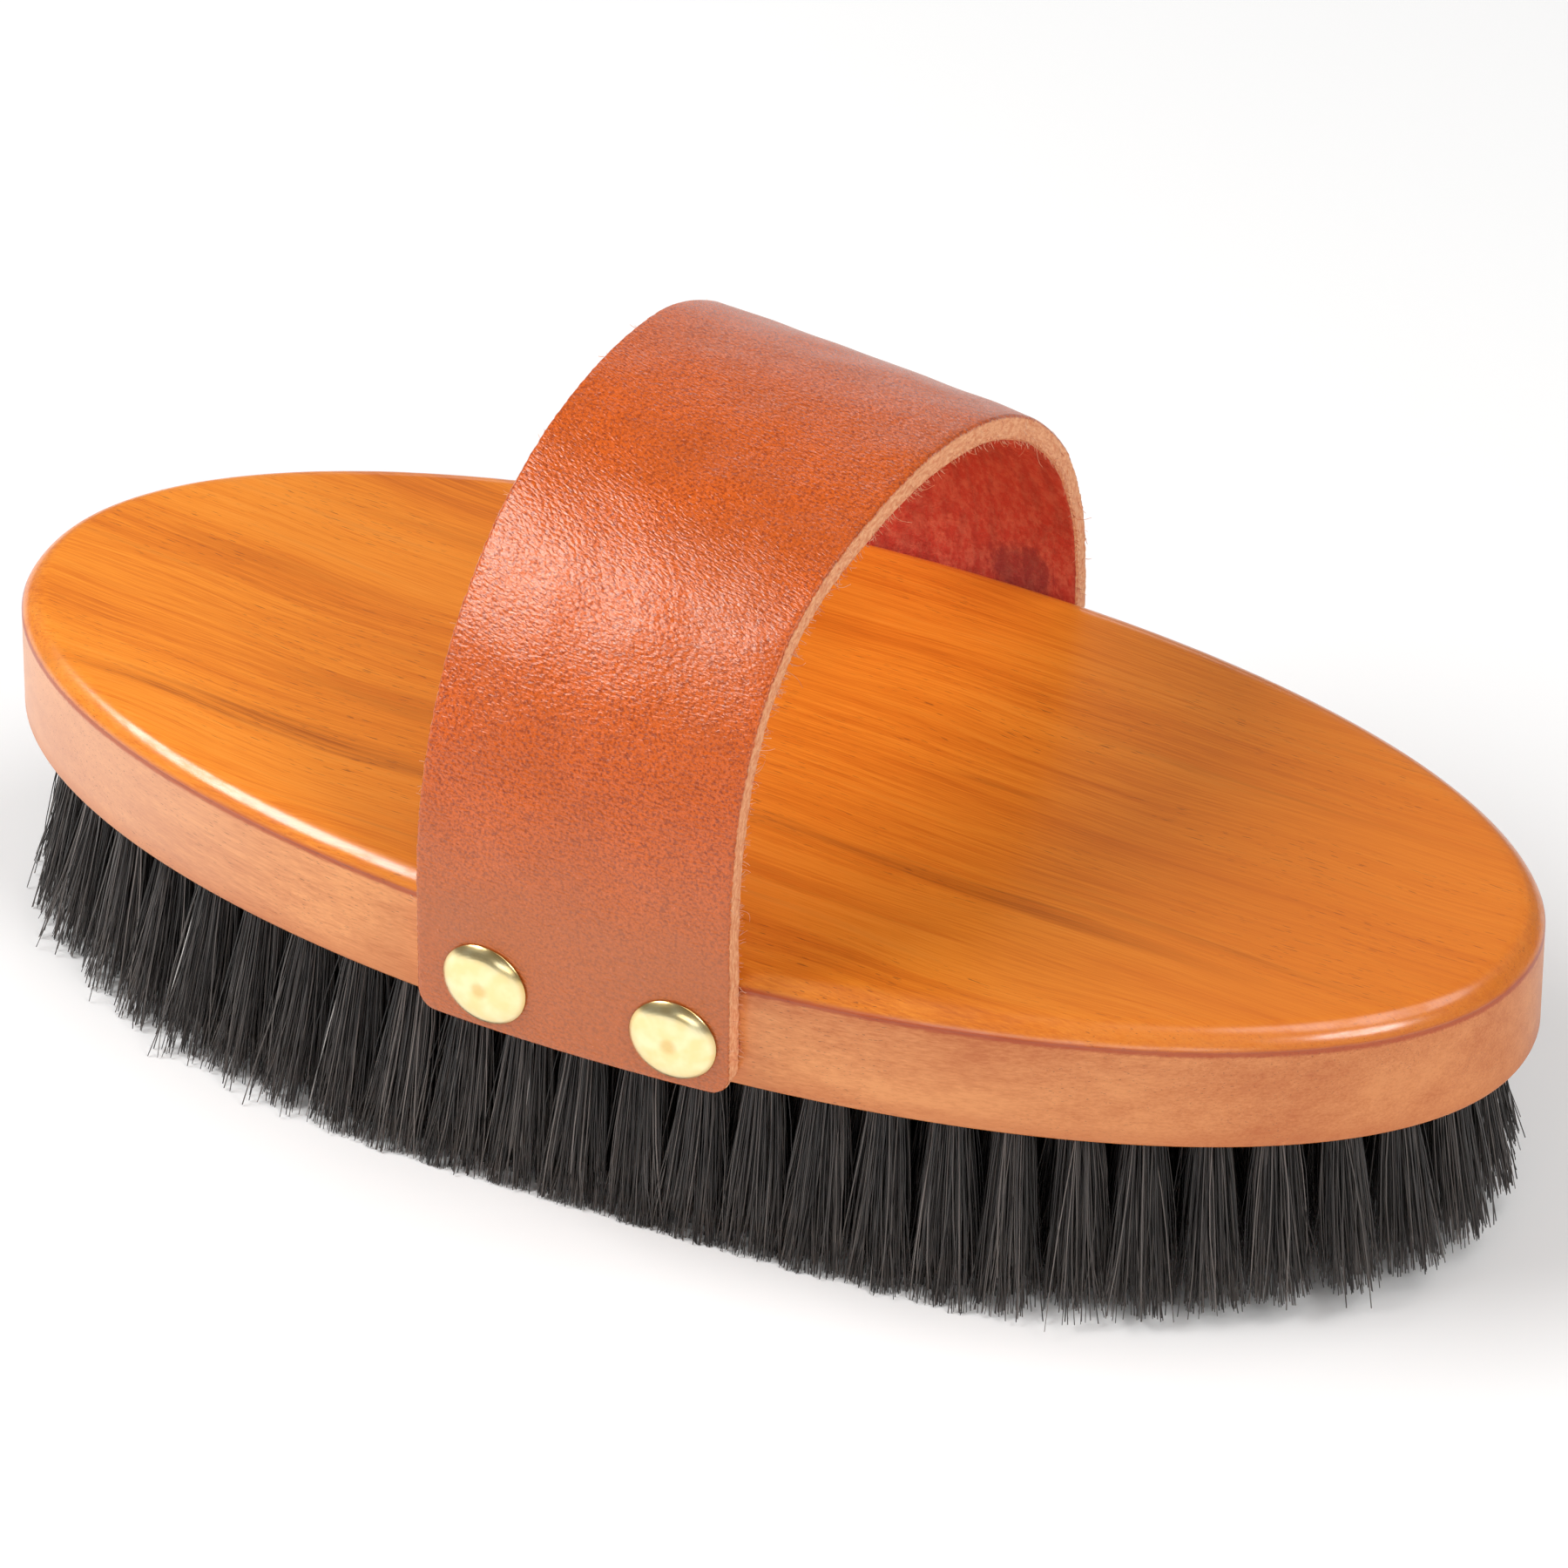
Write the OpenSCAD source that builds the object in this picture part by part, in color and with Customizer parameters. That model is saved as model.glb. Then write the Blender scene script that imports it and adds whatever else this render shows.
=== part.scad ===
// Oval body brush with a leather hand strap. Hair tufts sit in blind holes in the
// wood back, each held by a flat wire anchor, and capped nails hold the strap.
// Origin: middle of the plane that the hair tips rest on. X runs along the brush,
// Y across it from front to rear, Z up.

/* [Back] */
// Length of the wood back
back_length = 210; // [170:1:260]
// Width of the wood back
back_width = 93.4; // [76:0.2:116]
// Thickness of the wood back
back_thick = 18; // [15:0.5:26]
// Fullness of the oval outline, where 2 is an ellipse
back_fullness = 2.07; // [1.95:0.01:2.3]
// Radius of the rounded upper edge
edge_round = 3; // [1:0.5:6]
// Width of the small bevel along the lower edge
edge_break = 0.6; // [0.2:0.1:1.5]

/* [Strap] */
// Width of the leather strap
strap_width = 44; // [36:1:56]
// Thickness of the leather
strap_thick = 3.4; // [2.4:0.1:4.4]
// Height of the strap's highest edge above the top of the back
strap_rise = 52.8; // [40:0.2:64]
// How much lower the crown is at the right edge of the strap
crown_drop = 2.4; // [0:0.1:6]
// How far the crown leans forward at the right edge of the strap
crown_lean = 13; // [0:0.5:16]
// Place of the front foot's middle along the back
strap_front_x = -5.4; // [-10:0.1:10]
// Place of the rear foot's middle along the back
strap_rear_x = 1.2; // [-10:0.1:10]
// Fullness of the front shoulder at the left edge, where 2 is an ellipse
shoulder_left = 2.2; // [2:0.05:3]
// Fullness of the front shoulder at the right edge
shoulder_right = 2.7; // [2:0.05:3]
// Fullness of the rear shoulder
shoulder_rear = 2.15; // [2:0.05:3]
// Height of the strap's lower ends above the underside of the back
foot_lift = 0.6; // [0:0.1:2]
// Radius of the corners at the strap's lower ends
foot_corner = 3; // [1:0.5:5]
// Gap between the leather and the wall of the back
strap_fit = 0.1; // [0.05:0.05:0.3]

/* [Nails] */
// Distance between the two nails of one foot
nail_spacing = 26; // [20:0.5:30]
// Sideways offset of the pair from the foot's middle
nail_offset = 1.3; // [-2:0.1:2]
// Height of the nails above the underside of the back
nail_height = 7.9; // [7:0.1:10]
// Diameter of the brass cap
cap_d = 12; // [9:0.5:14]
// Height of the brass cap above the leather
cap_h = 2.1; // [1.8:0.1:3]
// Wall of the brass cap
cap_wall = 0.5; // [0.3:0.05:0.6]
// Thickness of the cap's rim, folded in under the pin's head
cap_lip = 0.3; // [0.2:0.05:0.4]
// Thickness of the pin's flat head
pin_head_h = 0.35; // [0.3:0.05:0.5]
// Diameter of the steel pin
pin_d = 2.2; // [1.6:0.1:2.8]
// Length of the steel pin below its head
pin_length = 10.5; // [8:0.5:11]
// Length of the pin's point
pin_point = 2.5; // [1:0.5:4]
// Gap around the pin and between the cap and what it rests on
nail_fit = 0.05; // [0.03:0.01:0.1]

/* [Tufts] */
// Length of the hair below the back
hair_length = 28.5; // [20:0.5:40]
// Distance between the tufts of one row
tuft_spacing = 8; // [7:0.1:10]
// Distance aimed at between the rows
row_spacing = 7.5; // [7:0.1:9]
// Distance from the edge of the back to the middle of the outer row
row_inset = 9; // [8.5:0.1:12]
// Diameter of the tuft holes
hole_d = 4.6; // [3.8:0.1:5.6]
// Depth of the tuft holes
hole_depth = 10; // [8:0.5:12]
// How far the hair tips lean out at the sides
fan_side = 5.2; // [2:0.1:7]
// How far the hair tips lean out at the ends
fan_end = 1.6; // [0:0.1:4]
// Gap between the tips of neighbouring tufts
tip_gap = 0.3; // [0.2:0.05:1]
// Gap between a tuft and its hole
tuft_fit = 0.05; // [0.03:0.01:0.1]

/* [Anchors] */
// Width of the flat anchor wire
anchor_width = 2; // [1.5:0.1:2.5]
// Thickness of the flat anchor wire
anchor_thick = 0.4; // [0.3:0.05:0.6]
// Thickness of the hair folded over the anchor
fold_thick = 1.2; // [0.8:0.1:2]
// Gap around an anchor
anchor_fit = 0.05; // [0.03:0.01:0.1]

/* [Hidden] */

front = -1;
rear = 1;
left = -1;
right = 1;
back_a = back_length / 2;
back_b = back_width / 2;
back_bottom = hair_length;
back_top = back_bottom + back_thick;
outline_points = 120;
round_steps = 4;

// ---- oval outline ----
function signed_power(v, e) = sign(v) * pow(abs(v), e);
function blend(from, to, share) = from + (to - from) * share;
function oval_point(a, b, angle) =
    [a * signed_power(cos(angle), 2 / back_fullness), b * signed_power(sin(angle), 2 / back_fullness)];
function oval_y(x, a, b) = b * pow(1 - pow(abs(x) / a, back_fullness), 1 / back_fullness);
// Direction that the wall of the back faces at x, as an angle from the X axis
function wall_angle(x, side) = atan2(
    side * pow(oval_y(x, back_a, back_b) / back_b, back_fullness - 1) / back_b,
    signed_power(x / back_a, back_fullness - 1) / back_a);

// ---- wood back ----
// Each level is a height and how far the outline draws in there
back_levels = concat(
    [[back_bottom, edge_break], [back_bottom + edge_break, 0]],
    [for (i = [0:round_steps]) let (turn = 90 * i / round_steps)
        [back_top - edge_round * (1 - sin(turn)), edge_round * (1 - cos(turn))]]);

module back_blank() {
    n = outline_points;
    top = len(back_levels) - 1;
    points = [for (level = back_levels, i = [0:n - 1])
        let (p = oval_point(back_a - level[1], back_b - level[1], 360 * i / n)) [p.x, p.y, level[0]]];
    wall = [for (row = [0:top - 1], i = [0:n - 1]) let (
            here = row * n + i,
            next = row * n + (i + 1) % n
        ) each [[here, here + n, next + n], [here, next + n, next]]];
    underside = [for (i = [0:n - 1]) i];
    upper_side = [for (i = [n - 1:-1:0]) top * n + i];
    polyhedron(points, concat(wall, [underside, upper_side]), convexity = 2);
}

module brush_back() {
    color("peru") difference() {
        back_blank();
        for (root = all_roots) on_tuft(root) translate([0, 0, -hole_depth])
            cylinder(h = 2 * hole_depth, d = hole_d, $fn = 32);
        for (side = [front, rear], end = [left, right]) nail_bore(side, end);
    }
}

// ---- leather strap ----
arch_rows = 44;
foot_rows = 4;
strap_columns = 8;
arch_start = back_top;
crown_top = back_top + strap_rise;
foot_bottom = back_bottom + foot_lift;
strap_grow = strap_fit + strap_thick;
// Each row is an angle over the arch and a drop below its start
strap_rows = concat(
    [for (i = [foot_rows:-1:1]) [0, (arch_start - foot_bottom) * i / foot_rows]],
    [for (i = [0:arch_rows]) [180 * i / arch_rows, 0]],
    [for (i = [1:foot_rows]) [180, (arch_start - foot_bottom) * i / foot_rows]]);
last_row = len(strap_rows) - 1;

function strap_point(row, column) = let (
    turn = strap_rows[row][0],
    across = column / strap_columns,
    x = blend(strap_front_x, strap_rear_x, (1 - cos(turn)) / 2) + (across - 0.5) * strap_width,
    crown_y = -crown_lean * across,
    crown_z = crown_top - crown_drop * across,
    fullness = turn < 90 ? blend(shoulder_left, shoulder_right, across) : shoulder_rear,
    wall_y = (turn < 90 ? front : rear) * oval_y(x, back_a + strap_grow, back_b + strap_grow),
    out = pow(abs(cos(turn)), 2 / fullness),
    up = pow(sin(turn), 2 / fullness)
) [x, blend(crown_y, wall_y, out), blend(arch_start, crown_z, up) - strap_rows[row][1]];

function flesh_point(row, column) = let (
    ahead = strap_point(min(row + 1, last_row), column),
    behind = strap_point(max(row - 1, 0), column),
    run = norm([ahead.y - behind.y, ahead.z - behind.z])
) strap_point(row, column) + strap_thick / run * [0, ahead.z - behind.z, behind.y - ahead.y];

module strap_blank() {
    ring = 2 * (strap_columns + 1);
    points = [for (row = [0:last_row]) each concat(
        [for (c = [0:strap_columns]) strap_point(row, c)],
        [for (c = [strap_columns:-1:0]) flesh_point(row, c)])];
    skin = [for (row = [0:last_row - 1], k = [0:ring - 1]) let (
            here = row * ring + k,
            next = row * ring + (k + 1) % ring
        ) each [[here, here + ring, next + ring], [here, next + ring, next]]];
    end = [for (k = [0:strap_columns - 1]) each [
        [k, k + 1, ring - 2 - k], [k, ring - 2 - k, ring - 1 - k]]];
    far_end = [for (face = end) [for (i = [2:-1:0]) face[i] + last_row * ring]];
    polyhedron(points, concat(skin, end, far_end), convexity = 4);
}

module foot_corner_cut(side, end) {
    foot_x = side == front ? strap_front_x : strap_rear_x;
    reach = 4 * strap_thick;
    translate([foot_x + end * strap_width / 2, side * back_b, foot_bottom]) difference() {
        cube([2 * foot_corner, 2 * reach, 2 * foot_corner], center = true);
        translate([-end * foot_corner, 0, foot_corner]) rotate([90, 0, 0])
            cylinder(h = 3 * reach, r = foot_corner, center = true, $fn = 48);
    }
}

module hand_strap() {
    color("sienna") difference() {
        strap_blank();
        for (side = [front, rear], end = [left, right]) {
            foot_corner_cut(side, end);
            nail_bore(side, end);
        }
    }
}

// ---- nails ----
leather_face = strap_fit + strap_thick;
cap_seat = leather_face + nail_fit;
cap_sphere = (pow(cap_d / 2, 2) + pow(cap_h, 2)) / (2 * cap_h);
cap_inner = cap_sphere - cap_wall;
pin_head_seat = cap_lip + nail_fit;
// Radius at which the pin's head just clears the inside of the dome
pin_head_r = sqrt(pow(cap_inner, 2) - pow(pin_head_seat + pin_head_h + nail_fit - cap_h + cap_sphere, 2));
cap_steps = 12;

// Local Z points straight out of the back's wall at a nail, from the wall's face
module on_nail(side, end) {
    x = (side == front ? strap_front_x : strap_rear_x) + nail_offset + end * nail_spacing / 2;
    translate([x, side * oval_y(x, back_a, back_b), back_bottom + nail_height])
        rotate([0, 90, wall_angle(x, side)]) children();
}

module nail_bore(side, end) {
    depth = pin_length - cap_seat - pin_head_seat + nail_fit;
    on_nail(side, end) translate([0, 0, -depth])
        cylinder(h = depth + 2 * strap_grow, d = pin_d + 2 * nail_fit, $fn = 32);
}

module nail_cap(side, end) {
    outer_turn = acos((cap_sphere - cap_h) / cap_sphere);
    inner_turn = acos((cap_sphere - cap_h + cap_lip) / cap_inner);
    dome = [for (i = [0:cap_steps]) let (turn = outer_turn * i / cap_steps)
        [cap_sphere * sin(turn), cap_sphere * cos(turn) + cap_h - cap_sphere]];
    hollow = [for (i = [cap_steps:-1:0]) let (turn = inner_turn * i / cap_steps)
        [cap_inner * sin(turn), cap_inner * cos(turn) + cap_h - cap_sphere]];
    lip_r = pin_head_r - 2 * cap_lip;
    color("gold") on_nail(side, end) translate([0, 0, cap_seat]) rotate_extrude($fn = 48)
        polygon(concat(dome, [[lip_r, 0], [lip_r, cap_lip]], hollow));
}

module nail_pin(side, end) {
    color("lightsteelblue") on_nail(side, end) translate([0, 0, cap_seat + pin_head_seat])
        rotate_extrude($fn = 32) polygon([
            [0, pin_head_h], [pin_head_r, pin_head_h], [pin_head_r, 0], [pin_d / 2, 0],
            [pin_d / 2, pin_point - pin_length], [0, -pin_length]]);
}

// ---- rows of tufts ----
arc_steps = 120;
outer_a = back_a - row_inset;
outer_b = back_b - row_inset;
row_count = round(outer_b / row_spacing);
row_pitch = outer_b / row_count;
tip_d = min(tuft_spacing, row_pitch) - tip_gap;
pair_y = tuft_spacing / 2;
third_row = 2;
last_ring = row_count - 1;

function row_a(row) = outer_a - row * row_pitch;
function row_b(row) = outer_b - row * row_pitch;
// Place along the back of the two tufts that straddle the long axis at a row's end
function pair_x(row) = row_a(row) * pow(1 - pow(pair_y / row_b(row), back_fullness), 1 / back_fullness);
// Distance run along one side of a row, against the angle reached
function arc_table(row) = let (
    start = asin(pow(pair_y / row_b(row), back_fullness / 2)),
    step = (180 - 2 * start) / arc_steps
) [for (i = 0, run = 0; i <= arc_steps;
        run = run + norm(oval_point(row_a(row), row_b(row), start + (i + 1) * step)
            - oval_point(row_a(row), row_b(row), start + i * step)),
        i = i + 1)
    [run, start + i * step]];
function row_points(row) = let (
    table = arc_table(row),
    total = table[arc_steps][0],
    count = floor(total / tuft_spacing)
) [for (side = [front, rear], k = [0:count]) let (
        p = oval_point(row_a(row), row_b(row), lookup(total * k / count, table))
    ) [p.x, side * p.y]];
function tip_place(root) = [root.x * (1 + fan_end / outer_a), root.y * (1 + fan_side / outer_b)];
// Those of the points whose tufts keep the gap at their tips to each of the others
function clear_of(points, others) = [for (p = points)
    if (min([for (q = others) norm(tip_place(p) - tip_place(q))]) >= tip_d + tip_gap / 2) p];
function kept_points(row) =
    row == 0 ? row_points(0) : clear_of(row_points(row), kept_points(row - 1));
function row_roots(row, side) = [for (p = kept_points(row)) if (side * p.y > 0) p];
function inner_roots(side) = [for (row = [third_row + 1:last_ring]) each row_roots(row, side)];

centre_reach = pair_x(last_ring);
centre_count = floor(2 * centre_reach / tuft_spacing);
centre_end = (pair_x(last_ring) + pair_x(last_ring - 1)) / 2;
centre_points = concat(
    [[-centre_end, 0], [centre_end, 0]],
    [for (k = [1:centre_count - 1]) [blend(-centre_reach, centre_reach, k / centre_count), 0]]);
centre_roots = clear_of(centre_points, concat(kept_points(last_ring), kept_points(last_ring - 1)));
all_roots = concat(
    [for (side = [front, rear]) each concat(
        row_roots(0, side), row_roots(1, side), row_roots(third_row, side), inner_roots(side))],
    centre_roots);

// Local Z runs up a tuft's own axis, from the underside of the back into its hole
module on_tuft(root) {
    lean = root - tip_place(root);
    azimuth = atan2(lean.y, lean.x);
    translate([root.x, root.y, back_bottom])
        rotate([0, atan(norm(lean) / hair_length), azimuth]) rotate(-azimuth) children();
}

// A piece of flat wire across the hole, whose four corners just clear the hole's wall
anchor_length = sqrt(pow(hole_d - 2 * anchor_fit, 2) - pow(anchor_thick, 2));

module anchor_shape(length, grow) {
    translate([0, 0, hole_depth - fold_thick - anchor_width / 2])
        cube([length, anchor_thick + 2 * grow, anchor_width + 2 * grow], center = true);
}

module tufts(roots) {
    shank_d = hole_d - 2 * tuft_fit;
    // The cone runs past the rest plane, where the tips are trimmed level
    cone_length = hair_length * 1.08;
    cone_d = shank_d + (tip_d - shank_d) * cone_length / hair_length;
    color("dimgray") difference() {
        for (root = roots) on_tuft(root) difference() {
            union() {
                translate([0, 0, -cone_length])
                    cylinder(h = cone_length, d1 = cone_d, d2 = shank_d, $fn = 32);
                cylinder(h = hole_depth - tuft_fit, d = shank_d, $fn = 32);
            }
            anchor_shape(2 * hole_d, anchor_fit);
        }
        translate([0, 0, -hair_length])
            cube([2 * back_length, 2 * back_width, 2 * hair_length], center = true);
    }
}

module anchors(roots) {
    color("silver") for (root = roots) on_tuft(root) anchor_shape(anchor_length, 0);
}

brush_back();
hand_strap();
nail_cap(front, left);  // nail_cap_front_left
nail_cap(front, right);  // nail_cap_front_right
nail_cap(rear, left);  // nail_cap_rear_left
nail_cap(rear, right);  // nail_cap_rear_right
nail_pin(front, left);  // nail_pin_front_left
nail_pin(front, right);  // nail_pin_front_right
nail_pin(rear, left);  // nail_pin_rear_left
nail_pin(rear, right);  // nail_pin_rear_right
tufts(row_roots(0, front));  // outer_tufts_front
tufts(row_roots(0, rear));  // outer_tufts_rear
tufts(row_roots(1, front));  // second_tufts_front
tufts(row_roots(1, rear));  // second_tufts_rear
tufts(row_roots(third_row, front));  // third_tufts_front
tufts(row_roots(third_row, rear));  // third_tufts_rear
tufts(inner_roots(front));  // inner_tufts_front
tufts(inner_roots(rear));  // inner_tufts_rear
tufts(centre_roots);  // centre_tufts
anchors(row_roots(0, front));  // outer_anchors_front
anchors(row_roots(0, rear));  // outer_anchors_rear
anchors(row_roots(1, front));  // second_anchors_front
anchors(row_roots(1, rear));  // second_anchors_rear
anchors(row_roots(third_row, front));  // third_anchors_front
anchors(row_roots(third_row, rear));  // third_anchors_rear
anchors(inner_roots(front));  // inner_anchors_front
anchors(inner_roots(rear));  // inner_anchors_rear
anchors(centre_roots);  // centre_anchors
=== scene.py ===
import math

import bmesh
import bpy
import numpy as np
from mathutils import Matrix, Vector, noise


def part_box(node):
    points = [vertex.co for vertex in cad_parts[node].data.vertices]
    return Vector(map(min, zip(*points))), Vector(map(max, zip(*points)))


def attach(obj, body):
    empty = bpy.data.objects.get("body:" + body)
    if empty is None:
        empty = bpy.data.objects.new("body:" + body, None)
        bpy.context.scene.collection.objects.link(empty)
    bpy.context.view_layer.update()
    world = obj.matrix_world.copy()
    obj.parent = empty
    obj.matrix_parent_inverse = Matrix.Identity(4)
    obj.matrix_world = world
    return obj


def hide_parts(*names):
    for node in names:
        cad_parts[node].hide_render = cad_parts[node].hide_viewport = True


# oval body brush: lacquered wood back, leather hand strap on brass nails, tufts of black hair
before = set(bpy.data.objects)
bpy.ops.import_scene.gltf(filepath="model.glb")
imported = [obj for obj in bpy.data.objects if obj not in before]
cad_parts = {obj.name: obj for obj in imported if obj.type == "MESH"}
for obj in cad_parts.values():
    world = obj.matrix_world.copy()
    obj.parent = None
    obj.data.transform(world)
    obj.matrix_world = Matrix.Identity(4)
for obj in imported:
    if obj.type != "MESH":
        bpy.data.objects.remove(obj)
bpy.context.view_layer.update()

mm = 0.001
front, rear = -1, 1
left, right = -1, 1


def srgb(red, green, blue):
    # colour as seen on a screen, turned into the light values that shaders use
    return tuple(c / 12.92 if c <= 0.04045 else ((c + 0.055) / 1.055) ** 2.4
                 for c in (red / 255, green / 255, blue / 255))


def between(a, b, share):
    return a + (b - a) * share


class Value:
    # one number that varies over a surface; Python sums on it become Math nodes
    def __init__(self, recipe, socket):
        self.recipe, self.socket = recipe, socket

    def joined(self, operation, other):
        return self.recipe.maths(operation, self, other)

    def joinedAfter(self, operation, other):
        return self.recipe.maths(operation, other, self)

    def __add__(self, other):
        return self.joined("ADD", other)

    def __radd__(self, other):
        return self.joined("ADD", other)

    def __sub__(self, other):
        return self.joined("SUBTRACT", other)

    def __rsub__(self, other):
        return self.joinedAfter("SUBTRACT", other)

    def __mul__(self, other):
        return self.joined("MULTIPLY", other)

    def __rmul__(self, other):
        return self.joined("MULTIPLY", other)

    def __truediv__(self, other):
        return self.joined("DIVIDE", other)

    def __rtruediv__(self, other):
        return self.joinedAfter("DIVIDE", other)

    def __pow__(self, other):
        return self.joined("POWER", other)

    def __rpow__(self, other):
        return self.joinedAfter("POWER", other)

    def atMost(self, other):
        return self.joined("MINIMUM", other)

    def rise(self, start, end):
        # 0 before start, 1 after end, smooth between them; start may be the larger
        node = self.recipe.node("ShaderNodeMapRange", {"interpolation_type": "SMOOTHSTEP"},
                                {"Value": self, "From Min": start, "From Max": end})
        return Value(self.recipe, node.outputs["Result"])


class Recipe:
    # one material, built from nodes around its own shader
    def __init__(self, name):
        self.material = bpy.data.materials.new(name)
        self.material.use_nodes = True
        self.tree = self.material.node_tree
        self.shader = self.tree.nodes["Principled BSDF"]

    def put(self, socket, value):
        if isinstance(value, Value):
            value = value.socket
        if isinstance(value, bpy.types.NodeSocket):
            self.tree.links.new(value, socket)
        elif isinstance(value, tuple) and len(value) == 3 and len(socket.default_value) == 4:
            socket.default_value = (*value, 1.0)
        else:
            socket.default_value = value

    def node(self, kind, settings=None, inputs=None):
        made = self.tree.nodes.new(kind)
        for key, value in (settings or {}).items():
            if key == "stops":
                self.setStops(made.color_ramp, value)
            else:
                setattr(made, key, value)
        for key, value in (inputs or {}).items():
            self.put(made.inputs[key], value)
        return made

    def setStops(self, ramp, stops):
        while len(ramp.elements) < len(stops):
            ramp.elements.new(1.0)
        for element, (place, colour) in zip(ramp.elements, stops):
            element.position = place
            element.color = (*colour, 1.0)

    def maths(self, operation, *values):
        made = self.node("ShaderNodeMath", {"operation": operation}, dict(enumerate(values)))
        return Value(self, made.outputs[0])

    def vector(self, x, y, z):
        return self.node("ShaderNodeCombineXYZ", None, {"X": x, "Y": y, "Z": z}).outputs[0]

    def parts(self, vector):
        made = self.node("ShaderNodeSeparateXYZ", None, {"Vector": vector})
        return [Value(self, output) for output in made.outputs]

    def place(self):
        # place on the object in millimetres
        coordinates = self.node("ShaderNodeTexCoord").outputs["Object"]
        made = self.node("ShaderNodeVectorMath", {"operation": "SCALE"},
                         {"Vector": coordinates, "Scale": 1 / mm})
        return made.outputs["Vector"]

    def attribute(self, name):
        return self.node("ShaderNodeAttribute", {"attribute_name": name})

    def number(self, name):
        return Value(self, self.attribute(name).outputs["Fac"])

    def cloud(self, vector, scale=1.0, detail=2.0, roughness=0.5, distortion=0.0):
        made = self.node("ShaderNodeTexNoise", None, {
            "Vector": vector, "Scale": scale, "Detail": detail,
            "Roughness": roughness, "Distortion": distortion})
        return Value(self, made.outputs["Fac"])

    def cells(self, vector, scale):
        made = self.node("ShaderNodeTexVoronoi", None, {"Vector": vector, "Scale": scale})
        return Value(self, made.outputs["Distance"])

    def mix(self, share, first, second):
        # a Mix node has its colours in sockets 6 and 7, and gives the mixed one in output 2
        made = self.node("ShaderNodeMix", {"data_type": "RGBA", "clamp_factor": True},
                         {0: share, 6: first, 7: second})
        return made.outputs[2]

    def ramp(self, value, stops):
        return self.node("ShaderNodeValToRGB", {"stops": stops}, {"Fac": value}).outputs["Color"]

    def bump(self, height, distance, strength=1.0, under=None):
        inputs = {"Height": height, "Distance": distance, "Strength": strength}
        if under is not None:
            inputs["Normal"] = under
        return self.node("ShaderNodeBump", None, inputs).outputs["Normal"]

    def finish(self, **sockets):
        for key, value in sockets.items():
            self.put(self.shader.inputs[key.replace("_", " ")], value)
        return self.material


def addMesh(name, points, faces, finish, smooth=True):
    mesh = bpy.data.meshes.new(name)
    mesh.from_pydata([tuple(p) for p in np.asarray(points, float)], [], faces)
    mesh.validate()
    mesh.update()
    piece = bpy.data.objects.new(name, mesh)
    bpy.context.scene.collection.objects.link(piece)
    mesh.materials.append(finish)
    if smooth:
        mesh.shade_smooth()
    return piece


def addNumbers(piece, name, values):
    layer = piece.data.attributes.new(name, "FLOAT", "POINT")
    layer.data.foreach_set("value", np.asarray(values, np.float32).ravel())


def addVectors(piece, name, values):
    layer = piece.data.attributes.new(name, "FLOAT_VECTOR", "POINT")
    layer.data.foreach_set("vector", np.asarray(values, np.float32).ravel())


def standFor(piece, node):
    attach(piece, "root")
    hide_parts(node)


def stitchRings(rings, count):
    # four-sided faces between one closed ring of points and the next
    faces = []
    for ring in range(rings - 1):
        for k in range(count):
            here, after = ring * count + k, ring * count + (k + 1) % count
            faces.append((here, after, after + count, here + count))
    return faces


def unevenness(points, scale, seed):
    # smooth random heights from -1 to 1; each seed looks at another place in the same noise
    shift = Vector((seed * 7.3, seed * 3.1, seed * 1.7))
    return np.array([noise.noise(Vector(p) * scale + shift) for p in points])


def strands(name, paths, radii, tones, finish, random):
    # three-sided tapering tubes: hair and loose fibres
    count, steps, _ = paths.shape
    tangent = np.gradient(paths, axis=1)
    tangent /= np.linalg.norm(tangent, axis=2, keepdims=True) + 1e-12
    anyWay = random.normal(0, 1, (count, 1, 3))
    side = np.cross(tangent, np.broadcast_to(anyWay, tangent.shape))
    side /= np.linalg.norm(side, axis=2, keepdims=True) + 1e-12
    over = np.cross(tangent, side)
    points = np.empty((count, steps, 3, 3))
    for corner in range(3):
        a = 2 * math.pi * corner / 3
        points[:, :, corner] = paths + radii[:, :, None] * (math.cos(a) * side + math.sin(a) * over)
    base = (np.arange(count) * steps * 3)[:, None, None]
    ring = (np.arange(steps - 1) * 3)[None, :, None]
    k = np.arange(3)[None, None, :]
    after = (k + 1) % 3
    here = base + ring
    quads = np.stack([here + k, here + after, here + 3 + after, here + 3 + k], -1).reshape(-1, 4)
    rootEnds = base[:, :, 0] + np.array([[2, 1, 0]])
    tipEnds = base[:, :, 0] + (steps - 1) * 3 + np.array([[0, 1, 2]])
    faces = quads.tolist() + rootEnds.tolist() + tipEnds.tolist()
    piece = addMesh(name, points.reshape(-1, 3), faces, finish)
    addNumbers(piece, "strandTone", np.repeat(tones, steps * 3))
    addNumbers(piece, "strandRun", np.tile(np.repeat(np.linspace(0, 1, steps), 3), count))
    layer = piece.data.uv_layers.new(name="OFBake")
    layer.uv.foreach_set("vector", strandMap(count, steps).astype(np.float32).ravel())
    return piece


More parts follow.
